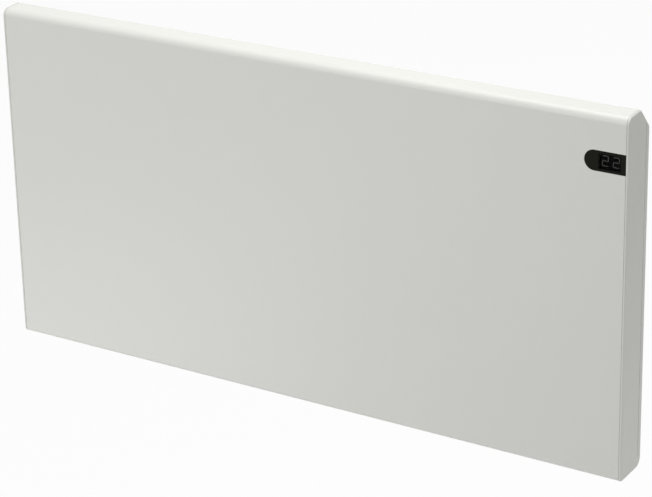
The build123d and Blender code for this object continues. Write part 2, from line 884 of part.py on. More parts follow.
with BuildPart() as front_baffle:
    with BuildSketch(Plane.YZ.offset(support_left_x - support_flange)):
        with BuildLine():
            Polyline(
                (support_front_y + baffle_fold, baffle_low_z - baffle_fold / 2),
                (support_front_y, baffle_low_z),
                (support_front_y, baffle_high_z),
                (support_front_y + baffle_fold, baffle_high_z + baffle_fold / 2),
            )
            offset(amount=baffle_sheet, side=Side.LEFT, kind=Kind.INTERSECTION)
        make_face()
    extrude(amount=baffle_length)
save(front_baffle.part, "front_baffle")

# Thermal cut-out: a disc thermostat riveted to the baffle above the element
cutout_x = support_right_x - cutout_from_right
cutout_z = underside_z + cutout_rise

with BuildPart() as thermal_cutout:
    with BuildSketch(at_y(support_front_y)):
        with Locations((cutout_x, cutout_z)):
            Rectangle(cutout_flange_length, cutout_flange_width)
    extrude(amount=-cutout_flange)
    with BuildSketch(at_y(support_front_y + cutout_flange)):
        with Locations((cutout_x, cutout_z)):
            Circle(cutout_radius)
    extrude(amount=-cutout_height)
    with BuildSketch(at_y(support_front_y + cutout_flange + cutout_height)):
        with Locations((cutout_x, cutout_z)):
            with GridLocations(1, cutout_radius, 1, 2):
                Rectangle(tab_width, tab_thickness)
    extrude(amount=-tab_length)
save(thermal_cutout.part, "thermal_cutout")

# Shield between the hot side and the electronics, screwed to the floor and the rear panel
shield_low_z = floor_inner_z + seam
shield_high_z = roof_z - shield_top_gap
shield_height = shield_high_z - shield_low_z
lead_hole_z = underside_z + long_lead_rise
lead_y = back_seat_y - clip_wall - lead_radius - seam

with BuildPart() as heat_shield:
    with BuildSketch(Plane.YZ.offset(shield_x)):
        with Locations(((support_front_y + back_seat_y) / 2, (shield_low_z + shield_high_z) / 2)):
            Rectangle(back_seat_y - support_front_y, shield_height)
        with Locations((rear_y, underside_z)):
            Rectangle(shield_corner, shield_corner, mode=Mode.SUBTRACT)
        with Locations((element_y, element_z), (back_seat_y, lead_hole_z)):
            Rectangle(wire_hole, wire_hole, mode=Mode.SUBTRACT)
    extrude(amount=shield_sheet)
    with BuildSketch(at_y(back_seat_y)):
        with Locations((shield_x, shield_high_z)):
            Rectangle(shield_flange, shield_height - shield_corner / 2, align=(Align.MAX, Align.MAX))
        with Locations((shield_x, lead_hole_z)):
            Rectangle(2 * shield_flange + wire_hole, wire_hole, mode=Mode.SUBTRACT)
    extrude(amount=shield_sheet)
    with BuildSketch(Plane.XY.offset(shield_low_z)):
        with Locations((shield_x, support_front_y)):
            Rectangle(shield_flange, shield_flange, align=(Align.MAX, Align.MIN))
    extrude(amount=shield_sheet)
save(heat_shield.part, "heat_shield")

# ---------------------------------------------------------------------------------------------
# Leads: silicone-covered wires from the element's two terminals up into the terminal block. The
# long one drops at the left end and runs low along the rear panel in clips.
# ---------------------------------------------------------------------------------------------
left_terminal_x = core_left_x - terminal_length
right_terminal_x = core_left_x + core_length + terminal_length
entry_top_z = entry_low_z + terminal_entry_depth
dip_z = entry_low_z - lead_dip
short_entry_x = terminal_x - terminal_pitch * (terminal_count - 1) / 2
long_entry_x = short_entry_x + terminal_pitch
short_turn_x = right_terminal_x + lead_turn
long_start_x = left_terminal_x + lead_start
long_start_z = element_z - tab_width / 2

with BuildPart() as element_leads:
    with BuildLine() as short_route:
        FilletPolyline(
            (right_terminal_x, element_y, element_z),
            (short_turn_x, element_y, element_z),
            (short_turn_x, entry_y, dip_z),
            (short_entry_x, entry_y, dip_z),
            (short_entry_x, entry_y, entry_top_z),
            radius=lead_bend,
        )
    with BuildSketch(Plane.YZ.offset(right_terminal_x)):
        with Locations((element_y, element_z)):
            RegularPolygon(lead_radius, lead_sides)
    sweep(path=short_route.line)
    with BuildLine() as long_route:
        FilletPolyline(
            (long_start_x, element_y, long_start_z),
            (long_start_x, element_y, lead_hole_z),
            (long_start_x, lead_y, lead_hole_z),
            (long_entry_x, lead_y, lead_hole_z),
            (long_entry_x, entry_y, lead_hole_z),
            (long_entry_x, entry_y, entry_top_z),
            radius=lead_bend,
        )
    with BuildSketch(Plane(origin=(long_start_x, element_y, long_start_z), z_dir=(0, 0, -1))):
        RegularPolygon(lead_radius, lead_sides)
    sweep(path=long_route.line)
save(element_leads.part, "element_leads")

clip_left_x = -panel_end_x + clip_margin
clip_count = floor((shield_x - clip_margin / 2 - clip_left_x) / clip_pitch) + 1
clip_mid_x = clip_left_x + (clip_count - 1) * clip_pitch / 2
clip_height = 2 * (lead_radius + clip_wall)

with BuildPart() as lead_clips:
    with BuildSketch(at_y(back_seat_y)):
        with Locations((clip_mid_x, lead_hole_z)):
            with GridLocations(clip_pitch, 1, clip_count, 1):
                Rectangle(clip_length, clip_height)
    extrude(amount=back_seat_y - lead_y + lead_radius + clip_wall)
    with BuildSketch(Plane.YZ.offset(-panel_end_x)):
        with Locations((lead_y, lead_hole_z)):
            Rectangle(2 * (lead_radius + clip_play), 2 * (lead_radius + clip_play))
    extrude(amount=panel_length, mode=Mode.SUBTRACT)
save(lead_clips.part, "lead_clips")

# ---------------------------------------------------------------------------------------------
# Room sensor: a bead thermistor upright in a small holder on the floor, over the intake air
# ---------------------------------------------------------------------------------------------
sensor_x = panel_end_x - sensor_from_end
sensor_y = front_y + switch_setback
sensor_seat_z = floor_inner_z + seam

with BuildPart() as sensor_holder:
    with BuildSketch(Plane.XY.offset(sensor_seat_z)):
        with Locations((sensor_x, sensor_y)):
            Rectangle(sensor_holder_width, sensor_holder_depth)
    extrude(amount=sensor_holder_height)
    with BuildSketch(Plane.YZ.offset(sensor_x)):
        with Locations((sensor_y, sensor_seat_z + sensor_holder_height / 2)):
            Rectangle(sensor_vent, sensor_vent)
    extrude(amount=sensor_holder_width, both=True, mode=Mode.SUBTRACT)
    with BuildSketch(Plane.XY.offset(sensor_seat_z + sensor_holder_height)):
        with Locations((sensor_x, sensor_y)):
            Rectangle(2 * sensor_radius + seam, 2 * sensor_radius + seam)
    extrude(amount=-sensor_length, mode=Mode.SUBTRACT)
save(sensor_holder.part, "sensor_holder")

with BuildPart() as room_sensor:
    with BuildSketch(Plane.XY.offset(sensor_seat_z + sensor_holder_height - sensor_length)):
        with Locations((sensor_x, sensor_y)):
            Circle(sensor_radius)
    extrude(amount=sensor_length)
save(room_sensor.part, "room_sensor")

# ---------------------------------------------------------------------------------------------
# Mains side: the grommet that the supply cable enters by, and the folded earth tab beside it
# ---------------------------------------------------------------------------------------------
grommet_outer_y = back_outer_y + grommet_flange

with BuildPart() as cable_grommet:
    with BuildSketch(at_y(grommet_outer_y)):
        with Locations((grommet_x, grommet_z)):
            Circle(grommet_flange_radius)
    extrude(amount=grommet_flange)
    with BuildSketch(at_y(back_outer_y)):
        with Locations((grommet_x, grommet_z)):
            Circle(grommet_radius - seam / 2)
    extrude(amount=rear_sheet + grommet_nose)
    with BuildSketch(at_y(grommet_outer_y)):
        with Locations((grommet_x, grommet_z)):
            Circle(grommet_bore_radius)
    extrude(amount=grommet_flange + rear_sheet + grommet_nose, mode=Mode.SUBTRACT)
save(cable_grommet.part, "cable_grommet")

with BuildPart() as earth_tab:
    with BuildSketch(at_y(back_inner_y)):
        with Locations((earth_x, grommet_z)):
            Rectangle(earth_tab_foot, earth_tab_foot)
    extrude(amount=tab_thickness)
    with BuildSketch(at_y(back_inner_y)):
        with Locations((earth_x, grommet_z - (earth_tab_foot - tab_thickness) / 2)):
            Rectangle(tab_width, tab_thickness)
    extrude(amount=earth_tab_length)
save(earth_tab.part, "earth_tab")

# ---------------------------------------------------------------------------------------------
# Power switch: a snap-in housing through the floor, with a rocker on its own moulded pins. At
# rest the rocker's +X half is pressed in.
# ---------------------------------------------------------------------------------------------
bezel_low_z = floor_outer_z - bezel_thickness
pivot_z = bezel_low_z + rocker_pivot_depth
switch_top_z = floor_outer_z + switch_body_depth
rocker_cavity_length = 2 * (rocker_radius + rocker_play)
rocker_cavity_width = rocker_width + 2 * rocker_play
rocker_cavity_depth = rocker_pivot_depth + rocker_headroom

with BuildPart() as switch_housing:
    with BuildSketch(Plane.XY.offset(bezel_low_z)):
        with Locations((switch_x, switch_y)):
            Rectangle(bezel_length, bezel_width)
    extrude(amount=bezel_thickness)
    chamfer(switch_housing.faces().sort_by(Axis.Z)[0].edges(), length=bezel_edge)
    with BuildSketch(Plane.XY.offset(floor_outer_z)):
        with Locations((switch_x, switch_y)):
            Rectangle(switch_body_length, switch_body_width)
    extrude(amount=switch_body_depth)
    with BuildSketch(Plane.XY.offset(bezel_low_z)):
        with Locations((switch_x, switch_y)):
            Rectangle(rocker_cavity_length, rocker_cavity_width)
    extrude(amount=rocker_cavity_depth, mode=Mode.SUBTRACT)
    with BuildSketch(at_y(switch_y + (rocker_pin_length + rocker_play) / 2)):
        with Locations((switch_x, pivot_z)):
            Circle(rocker_pin_radius + rocker_pin_play)
    extrude(amount=rocker_pin_length + rocker_play, mode=Mode.SUBTRACT)
save(switch_housing.part, "switch_housing")

with BuildPart() as switch_tags:
    with BuildSketch(Plane.XY.offset(switch_top_z)):
        with Locations((switch_x, switch_y)):
            with GridLocations(switch_tag_pitch, 1, switch_tag_count, 1):
                Rectangle(tab_thickness, tab_width)
    extrude(amount=tab_length)
save(switch_tags.part, "switch_tags")


def rocker_plane(y):
    """Plane at depth y through the rocker's pivot, tilted as the rocker lies at rest."""
    tilt = Rotation(0, -rocker_angle, 0)
    return Plane(origin=(switch_x, y, pivot_z), x_dir=tilt.x_axis.direction, z_dir=(0, -1, 0))


shoulder_drop = rocker_crown + rocker_radius * tan(radians(rocker_angle))

with BuildPart() as power_rocker:
    with BuildSketch(rocker_plane(switch_y + rocker_width / 2)):
        with BuildLine():
            Polyline(
                (-rocker_radius, rocker_shoulder),
                (-rocker_radius, -shoulder_drop),
                (0, -rocker_crown),
                (rocker_radius, -shoulder_drop),
                (rocker_radius, rocker_shoulder),
                close=True,
            )
        make_face()
        Circle(rocker_radius, mode=Mode.INTERSECT)
    extrude(amount=rocker_width)
    with BuildSketch(rocker_plane(switch_y + rocker_pin_length / 2)):
        Circle(rocker_pin_radius)
    extrude(amount=rocker_pin_length)
save(power_rocker.part, "power_rocker")

# ---------------------------------------------------------------------------------------------
# Wall bracket: two folded legs with four hooks each, two crossbars spot-welded between them,
# and a leaf spring spot-welded in each leg whose nose catches a window in the rear panel
# ---------------------------------------------------------------------------------------------
flange_edge_y = back_outer_y + hook_rear_gap
lip_inner_y = back_inner_y - hook_throat_play
lip_outer_y = lip_inner_y - hook_lip_thickness
arm_root_y = -leg_flange_depth + bracket_sheet
arm_low = -hook_arm_height / 2
arm_high = hook_arm_height / 2
crossbar_levels = (-crossbar_rise / 2, crossbar_rise / 2)
notch_depth = bracket_sheet + crossbar_notch_play
bar_end_x = screw_span / 2 - leg_width / 2 + crossbar_lap

for name, leg_x, inward in (
    ("bracket_leg_left", leg_xs[0], 1),
    ("bracket_leg_right", leg_xs[1], -1),
):
    with BuildPart() as bracket_leg:
        with BuildSketch(at_y(0)):
            with Locations((leg_x, 0)):
                Rectangle(leg_width, leg_height)
                with GridLocations(1, screw_rise, 1, 2):
                    SlotOverall(wall_slot_length, 2 * wall_slot_radius, mode=Mode.SUBTRACT)
        extrude(amount=bracket_sheet)
        for side in (-1, 1):
            with BuildSketch(Plane.YZ.offset(leg_x + side * flange_offset)):
                with Locations((-leg_flange_depth / 2, 0)):
                    Rectangle(leg_flange_depth, leg_height)
                for hook_z in hook_levels:
                    with BuildLine():
                        Polyline(
                            (arm_root_y, hook_z + arm_low - hook_arm_spread),
                            (flange_edge_y, hook_z + arm_low),
                            (flange_edge_y, hook_z - hook_height),
                            (lip_outer_y, hook_z - hook_height),
                            (lip_outer_y, hook_z + hook_lip - hook_lip_chamfer),
                            (lip_outer_y + hook_lip_chamfer, hook_z + hook_lip),
                            (lip_inner_y, hook_z + hook_lip),
                            (lip_inner_y, hook_z),
                            (flange_edge_y, hook_z),
                            (flange_edge_y, hook_z + arm_high),
                            (arm_root_y, hook_z + arm_high + hook_arm_spread),
                            close=True,
                        )
                    make_face()
                if side == inward:
                    with Locations([(-bracket_sheet, z) for z in crossbar_levels]):
                        Rectangle(
                            notch_depth,
                            crossbar_height + 2 * crossbar_notch_play,
                            align=(Align.MAX, Align.CENTER),
                            mode=Mode.SUBTRACT,
                        )
            extrude(amount=bracket_sheet / 2, both=True)
    save(bracket_leg.part, name)

for name, bar_z in (("crossbar_lower", crossbar_levels[0]), ("crossbar_upper", crossbar_levels[1])):
    with BuildPart() as crossbar:
        with BuildSketch(at_y(-bracket_sheet)):
            with Locations((0, bar_z)):
                Rectangle(2 * bar_end_x, crossbar_height)
        extrude(amount=bracket_sheet)
        with BuildSketch(at_y(-2 * bracket_sheet)):
            with Locations((0, bar_z)):
                with GridLocations(1, crossbar_height - bracket_sheet, 1, 2):
                    Rectangle(screw_span - leg_width - 2 * bracket_sheet, bracket_sheet)
        extrude(amount=crossbar_fold)
    save(crossbar.part, name)

nose_root_y = back_outer_y + nose_root_gap
nose_tip_y = back_inner_y - nose_reach

with BuildPart() as bracket_springs:
    for leg_x in leg_xs:
        with BuildSketch(Plane.YZ.offset(leg_x - strip_width / 2)):
            with BuildLine():
                Polyline(
                    (-bracket_sheet, strip_foot_rise),
                    (-bracket_sheet, strip_foot_rise + strip_foot_length),
                    (nose_tip_y, nose_rise),
                    (nose_root_y, nose_rise + nose_half_height),
                )
                offset(amount=strip_thickness, side=Side.LEFT, kind=Kind.INTERSECTION)
            make_face()
        extrude(amount=strip_width)
save(bracket_springs.part, "bracket_springs")
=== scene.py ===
import json
import math

import bmesh
import bpy
from mathutils import Matrix, Vector


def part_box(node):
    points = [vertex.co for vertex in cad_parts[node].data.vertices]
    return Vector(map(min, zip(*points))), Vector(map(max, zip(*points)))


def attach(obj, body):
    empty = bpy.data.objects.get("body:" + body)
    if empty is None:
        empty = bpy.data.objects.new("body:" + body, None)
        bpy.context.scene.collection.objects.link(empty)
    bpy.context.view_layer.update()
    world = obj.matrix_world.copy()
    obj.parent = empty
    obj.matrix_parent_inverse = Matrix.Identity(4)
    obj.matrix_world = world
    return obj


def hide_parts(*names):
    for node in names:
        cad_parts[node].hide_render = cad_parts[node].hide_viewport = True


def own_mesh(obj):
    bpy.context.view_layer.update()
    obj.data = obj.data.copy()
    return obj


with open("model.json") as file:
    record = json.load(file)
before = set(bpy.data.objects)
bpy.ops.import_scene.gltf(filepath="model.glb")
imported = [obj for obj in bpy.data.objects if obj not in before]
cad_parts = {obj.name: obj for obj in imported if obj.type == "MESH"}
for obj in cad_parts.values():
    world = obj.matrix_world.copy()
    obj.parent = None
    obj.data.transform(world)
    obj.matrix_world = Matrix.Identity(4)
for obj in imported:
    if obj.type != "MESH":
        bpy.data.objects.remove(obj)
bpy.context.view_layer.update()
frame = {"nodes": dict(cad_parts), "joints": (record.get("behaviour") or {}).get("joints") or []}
MM = 0.001

# ---------------------------------------------------------------------------------------------
# Front panel. One sheet of steel, folded over at the ridge and under at the toe, and powder
# coated in a satin, warm light grey. The window for the display is punched in at its right end.
# ---------------------------------------------------------------------------------------------
powder_light = (0.655, 0.658, 0.622, 1.0)
powder_dark = (0.632, 0.635, 0.598, 1.0)
powder_roughness = 0.42
powder_unevenness = 0.08
powder_patch_scale = 5.0
powder_grain_scale = 1400.0
powder_grain_strength = 0.05
powder_grain_depth = 0.2 * MM
weld_distance = 0.001 * MM
coplanar_angle = math.radians(0.05)
usual_crease = math.radians(30.0)


class Wire:
    """A node's output in an expression: its operators add the Math nodes that they need."""

    def __init__(self, socket):
        self.socket = socket

    def maths(self, operation, *values):
        made = self.socket.id_data.nodes.new("ShaderNodeMath")
        made.operation = operation
        feed(made, enumerate(values))
        return Wire(made.outputs[0])

    def __add__(self, other):
        return self.maths("ADD", self, other)

    def __sub__(self, other):
        return self.maths("SUBTRACT", self, other)

    def __rsub__(self, other):
        return self.maths("SUBTRACT", other, self)

    def __mul__(self, other):
        return self.maths("MULTIPLY", self, other)

    def __abs__(self):
        return self.maths("ABSOLUTE", self)

    __radd__ = __add__
    __rmul__ = __mul__


def feed(node, numbered=(), **named):
    """Sets or links a node's sockets, by number or by name, underscores standing for spaces."""
    spaced = {name.replace("_", " "): value for name, value in named.items()}
    for place, value in (dict(numbered) | spaced).items():
        if isinstance(value, Wire):
            node.id_data.links.new(value.socket, node.inputs[place])
        else:
            node.inputs[place].default_value = value


class Shading:
    """The shader nodes of a material or of the world."""

    def __init__(self, tree):
        self.tree = tree

    def node(self, kind, settings=None, output=0, numbered=(), **named):
        """Adds a node, first its settings, then its sockets, and gives one of its outputs."""
        made = self.tree.nodes.new(kind)
        for name, value in (settings or {}).items():
            setattr(made, name, value)
        feed(made, numbered, **named)
        return Wire(made.outputs[output])


class Finish(Shading):
    """One material: a Principled shader, fed with values and with what further nodes give."""

    def __init__(self, name):
        self.material = bpy.data.materials.new(name)
        self.material.use_nodes = True
        super().__init__(self.material.node_tree)
        self.shader = self.tree.nodes["Principled BSDF"]
        self.place = self.node("ShaderNodeTexCoord", output="Object")

    def noise(self, scale):
        return self.node("ShaderNodeTexNoise", Vector=self.place, Scale=scale)

    def blend(self, factor, first, second):
        """Two colours mixed. A Mix node's sockets share their names, so they go by number."""
        sockets = {0: factor, 6: first, 7: second}
        return self.node("ShaderNodeMix", {"data_type": "RGBA"}, output=2, numbered=sockets)

    def grain(self, height, strength, depth):
        """Gives the surface a fine relief."""
        bump = self.node("ShaderNodeBump", Height=height, Strength=strength, Distance=depth)
        feed(self.shader, Normal=bump)

    def look(self, **sockets):
        """Feeds the shader's own sockets and gives the finished material."""
        feed(self.shader, **sockets)
        return self.material


def powder_coat(name, light, dark):
    """Satin powder coat: slight cloudiness, a fine orange-peel surface and uneven gloss."""
    coat = Finish(name)
    patches = coat.noise(powder_patch_scale)
    coat.grain(coat.noise(powder_grain_scale), powder_grain_strength, powder_grain_depth)
    return coat.look(
        Base_Color=coat.blend(patches, dark, light),
        Roughness=powder_roughness - powder_unevenness / 2 + patches * powder_unevenness,
    )


def activate(made):
    """Makes an object the only selected one, and the active one."""
    bpy.ops.object.select_all(action="DESELECT")
    made.select_set(True)
    bpy.context.view_layer.objects.active = made


def start_edit(made, parts=None, wanted=None):
    """Opens a mesh for editing, all of it selected, or only the edges or faces that are wanted."""
    activate(made)
    bpy.ops.object.mode_set(mode="EDIT")
    bpy.ops.mesh.select_all(action="DESELECT" if wanted else "SELECT")
    if wanted:
        shape = bmesh.from_edit_mesh(made.data)
        for part in getattr(shape, parts):
            part.select = wanted(part)
        bmesh.update_edit_mesh(made.data)


def end_edit():
    """Closes the mesh that was opened for editing."""
    bpy.ops.object.mode_set(mode="OBJECT")


def modify(made, kind, **settings):
    """Adds a modifier with its settings and applies it."""
    activate(made)
    modifier = made.modifiers.new(name=kind, type=kind)
    for name, value in settings.items():
        setattr(modifier, name, value)
    bpy.ops.object.modifier_apply(modifier=modifier.name)


def paint(mesh, material):
    """Gives a mesh its one material."""
    mesh.materials.clear()
    mesh.materials.append(material)


def finish_piece(made, body, material, slot, *nodes):
    """Gives a piece its material and its body, and hides the CAD nodes it stands for. The slot is
    not used.
    """
    paint(made.data, material)
    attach(made, body)
    if nodes:
        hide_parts(*nodes)
    return made


def dress(node, body, material, slot, crease=usual_crease):
    """A welded, smoothly shaded copy of a CAD node, shown in its place on the same body."""
    copy = bpy.data.objects.new(f"{node}_skin", frame["nodes"][node].data.copy())
    bpy.context.collection.objects.link(copy)
    start_edit(copy)
    bpy.ops.mesh.remove_doubles(threshold=weld_distance)
    bpy.ops.mesh.dissolve_limited(angle_limit=coplanar_angle)
    end_edit()
    bpy.ops.object.shade_smooth_by_angle(angle=crease)
    modify(copy, "WEIGHTED_NORMAL", keep_sharp=True)
    return finish_piece(copy, body, material, slot, node)


panel_coat = powder_coat("satin powder coat", powder_light, powder_dark)
dress("front_panel", "heater", panel_coat, "casing_paint")

# ---------------------------------------------------------------------------------------------
# Rear panel. The other half of the casing: steel sheet in the same powder coat, tucked under the
# front panel's roof and over its toe, and punched with the outlet, the intake and the hook slots.
# ---------------------------------------------------------------------------------------------
dress("rear_panel", "heater", panel_coat, "casing_paint")

# ---------------------------------------------------------------------------------------------
# End caps. Injection-moulded plates with a fine spark-eroded grain, pushed into the ends of the
# casing and screwed from behind. Their colour is a shade greyer than the panels': painted shade
# for their sides, which face away from the light.
# ---------------------------------------------------------------------------------------------
# Painted shade: both cap colours are darkened to stand in for the shade on the caps' sides
cap_painted_shade_light = (0.611, 0.614, 0.582, 1.0)
cap_painted_shade_dark = (0.588, 0.592, 0.559, 1.0)
moulded_cloud_scale = 30.0
moulded_grain_scale = 2600.0
moulded_grain_strength = 0.08
moulded_grain_depth = 0.1 * MM
moulded_unevenness = 0.1


def moulded(name, light, dark, roughness):
    """Moulded plastic: nearly even colour over a fine, dense grain."""
    plastic = Finish(name)
    grain = plastic.noise(moulded_grain_scale)
    plastic.grain(grain, moulded_grain_strength, moulded_grain_depth)
    return plastic.look(
        Base_Color=plastic.blend(plastic.noise(moulded_cloud_scale), dark, light),
        Roughness=roughness - moulded_unevenness / 2 + grain * moulded_unevenness,
    )


# The caps' material, greyed by the painted shade of the colours above
cap_plastic = moulded("grained cap plastic", cap_painted_shade_light, cap_painted_shade_dark, roughness=0.5)
for cap in ("end_cap_left", "end_cap_right"):
    dress(cap, "heater", cap_plastic, "cap_plastic")

# ---------------------------------------------------------------------------------------------
# Display. A polished lens lies flush in the window, printed dark on its inner side except for a
# smoked opening over the two-digit module. A black carrier behind it holds the module at its
# right and two touch springs at its left.
# ---------------------------------------------------------------------------------------------
def grey(level):
    """A neutral colour."""
    return (level, level, level, 1.0)


lens_printed = (0.0135, 0.0145, 0.0110, 1.0)
lens_smoke = grey(0.001)
printed_alpha = 0.97
smoke_alpha = 0.54
print_fade = 2.2 * MM
lens_roughness = 0.07
lens_shine = 0.03
smear_scale = 45.0
smear_roughness = 0.04
carrier_light = (0.030, 0.032, 0.028, 1.0)
carrier_dark = (0.024, 0.026, 0.022, 1.0)

lens_polish = Finish("smoked lens")
smear = lens_polish.noise(smear_scale)
module_low, module_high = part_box("led_module")
module_mid = (module_low + module_high) / 2
module_half = (module_high - module_low) / 2


def over_module(axis):
    """One over the display module and zero where the print starts, along one of the axes."""
    along = lens_polish.node("ShaderNodeSeparateXYZ", output=axis, Vector=lens_polish.place)
    return lens_polish.node(
        "ShaderNodeMapRange",
        {"interpolation_type": "SMOOTHSTEP"},
        Value=abs(along - module_mid[axis]),
        From_Min=module_half[axis] - print_fade / 2,
        From_Max=module_half[axis] + print_fade / 2,
        To_Min=1.0,
        To_Max=0.0,
    )


opening = over_module(axis=0) * over_module(axis=2)
lens_plastic = lens_polish.look(
    Base_Color=lens_polish.blend(opening, lens_printed, lens_smoke),
    Roughness=lens_roughness + smear * smear_roughness,
    Alpha=printed_alpha - opening * (printed_alpha - smoke_alpha),
    Specular_IOR_Level=lens_shine,
)
dress("display_window", "heater", lens_plastic, "smoked_lens")
carrier_plastic = moulded("carrier plastic", carrier_light, carrier_dark, roughness=0.5)
module_plastic = moulded("module face", grey(0.003), grey(0.002), roughness=0.35)
dress("display_carrier", "heater", carrier_plastic, "display_black")
dress("led_module", "heater", module_plastic, "display_black")

# Seven bars for each digit, thin and pointed at both ends; both digits show a two
digit_width = 6.6 * MM
digit_stroke = 0.62 * MM
bar_gap = 0.22 * MM
bar_point = 0.49 * digit_stroke
digit_low, digit_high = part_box("digit_segments")
digit_mid = (digit_low + digit_high) / 2
digit_half_height = (digit_high.z - digit_low.z - digit_stroke) / 2
digit_half_width = (digit_width - digit_stroke) / 2
digit_shift = (digit_high.x - digit_low.x - digit_width) / 2
bar_depth = digit_high.y - digit_low.y
lit_light = (0.60, 0.62, 0.59, 1.0)
lit_dark = (0.55, 0.57, 0.54, 1.0)
lit_glow = (0.90, 0.95, 0.88, 1.0)
glow_strength = 0.20
lit_grain_scale = 900.0
two_is_lit = {"top", "top_right", "middle", "low_left", "bottom"}
# Each bar's place, in half widths across and half heights up, and whether it lies level
segments = {
    "top": (0, 1, True),
    "middle": (0, 0, True),
    "bottom": (0, -1, True),
    "top_right": (1, 0.5, False),
    "top_left": (-1, 0.5, False),
    "low_right": (1, -0.5, False),
    "low_left": (-1, -0.5, False),
}


def begin_with(primitive, **settings):
    """Adds the primitive that a piece begins with, and selects nothing else."""
    bpy.ops.object.select_all(action="DESELECT")
    primitive(**settings)
    return bpy.context.object


def runs_through(edge):
    """Tells the four edges of a bar that run from its front to its back."""
    return abs((edge.verts[0].co - edge.verts[1].co).y) > bar_depth / 2


def bar(length):
    """One display bar, lying level: a block whose two ends are bevelled to points."""
    made = begin_with(
        bpy.ops.mesh.primitive_cube_add, size=1, scale=(length, bar_depth, digit_stroke)
    )
    bpy.ops.object.transform_apply(scale=True)
    start_edit(made, "edges", runs_through)
    bpy.ops.mesh.bevel(offset=bar_point, segments=1)
    end_edit()
    return made


def copied(pattern, place, turn=Matrix()):
    """A copy of a finished shape with a mesh of its own, turned and set at its place."""
    copy = pattern.copy()
    copy.data = pattern.data.copy()
    bpy.context.collection.objects.link(copy)
    copy.data.transform(Matrix.Translation(place) @ turn)
    return copy


def join(objects, name):
    """Joins finished objects into one, named as the piece it is."""
    activate(objects[0])
    for other in objects[1:]:
        other.select_set(True)
    bpy.ops.object.join()
    objects[0].name = name
    return objects[0]


level_bar = bar(2 * digit_half_width - bar_gap)
upright_bar = bar(digit_half_height - bar_gap)
upright_bar.data.transform(Matrix.Rotation(math.pi / 2, 4, "Y"))
lit_bars = []
unlit_bars = []
for digit in (-1, 1):
    for name, (across, up, lies_level) in segments.items():
        from_middle = Vector(
            (digit * digit_shift + across * digit_half_width, 0, up * digit_half_height)
        )
        pattern = level_bar if lies_level else upright_bar
        group = lit_bars if name in two_is_lit else unlit_bars
        group.append(copied(pattern, digit_mid + from_middle))
for pattern in (level_bar, upright_bar):
    bpy.data.objects.remove(pattern)

lit_finish = Finish("lit bars")
lit_plastic = lit_finish.look(
    Base_Color=lit_finish.blend(lit_finish.noise(lit_grain_scale), lit_dark, lit_light),
    Roughness=0.4,
    Emission_Color=lit_glow,
    Emission_Strength=glow_strength,
)
unlit_plastic = moulded("unlit bars", grey(0.010), grey(0.010), roughness=0.4)
for bars, name, plastic in (
    (lit_bars, "digits_lit", lit_plastic),
    (unlit_bars, "digits_unlit", unlit_plastic),
):
    finish_piece(join(bars, name), "heater", plastic, "digit_white", "digit_segments")

# Touch springs: soft coils pressed between the control board and the lens
spring_wire = 0.45 * MM
spring_turns = 4
turn_steps = 20
wire_sides = 8
spring_light = (0.50, 0.50, 0.51, 1.0)
spring_dark = (0.42, 0.42, 0.43, 1.0)
spring_cloud_scale = 400.0
spring_grain_scale = 900.0
spring_roughness = 0.32
spring_unevenness = 0.08
spring_low, spring_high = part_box("touch_springs")
spring_radius = (spring_high.x - spring_low.x) / 2
spring_x = (spring_low.x + spring_high.x) / 2
coil = begin_with(
    bpy.ops.mesh.primitive_circle_add,
    vertices=wire_sides,
    radius=spring_wire / 2,
    fill_type="NOTHING",
)
start_edit(coil)
bpy.ops.transform.translate(value=(spring_radius - spring_wire / 2, 0, 0))
end_edit()
modify(
    coil,
    "SCREW",
    axis="Y",
    steps=turn_steps,
    render_steps=turn_steps,
    iterations=spring_turns,
    screw_offset=(spring_high.y - spring_low.y - spring_wire) / spring_turns,
)
start_edit(coil)
bpy.ops.mesh.fill_holes(sides=wire_sides)
bpy.ops.mesh.normals_make_consistent(inside=False)
end_edit()
bpy.ops.object.shade_smooth()
coil_foot = spring_low.y + spring_wire / 2
coils = [
    copied(coil, (spring_x, coil_foot, spring_z))
    for spring_z in (spring_low.z + spring_radius, spring_high.z - spring_radius)
]
bpy.data.objects.remove(coil)

spring_steel = Finish("spring steel")
spring_metal = spring_steel.look(
    Base_Color=spring_steel.blend(
        spring_steel.noise(spring_cloud_scale), spring_dark, spring_light
    ),
    Metallic=1.0,
    Roughness=spring_roughness + spring_steel.noise(spring_grain_scale) * spring_unevenness,
)
finish_piece(join(coils, "touch_coils"), "heater", spring_metal, "spring_steel", "touch_springs")

# ---------------------------------------------------------------------------------------------
# Boards. Two laminates in green solder resist: the control board behind the display, and the
# power board in a moulded tray on the rear panel, with a ribbon between them. The power board
# carries the relay, the supply transformer, a filter capacitor and the terminal block.
# ---------------------------------------------------------------------------------------------
resist_light = (0.020, 0.130, 0.055, 1.0)
resist_dark = (0.012, 0.085, 0.036, 1.0)
resist_roughness = 0.32
track_scale = 320.0
track_roughness = 0.08
core_light = (0.15, 0.145, 0.14, 1.0)
core_dark = (0.09, 0.085, 0.08, 1.0)
core_roughness = 0.35
plate_scale = 320.0
plate_roughness = 0.15


def show_node(node, material):
    """Shows a CAD node as it is, in a material."""
    paint(frame["nodes"][node].data, material)


# Solder resist over copper: patches where the copper lies under it, all softly glossy
board_finish = Finish("green solder resist")
tracks = board_finish.node(
    "ShaderNodeTexVoronoi",
    {"distance": "CHEBYCHEV"},
    Vector=board_finish.place,
    Scale=track_scale,
)
board_resist = board_finish.look(
    Base_Color=board_finish.blend(tracks, resist_dark, resist_light),
    Roughness=resist_roughness + tracks * track_roughness,
)

# The transformer's core: a stack of thin iron plates under clear varnish
core_finish = Finish("varnished laminations")
plates = core_finish.node(
    "ShaderNodeTexWave", {"bands_direction": "Z"}, Vector=core_finish.place, Scale=plate_scale
)
core_metal = core_finish.look(
    Base_Color=core_finish.blend(plates, core_dark, core_light),
    Metallic=0.6,
    Roughness=core_roughness + plates * plate_roughness,
)

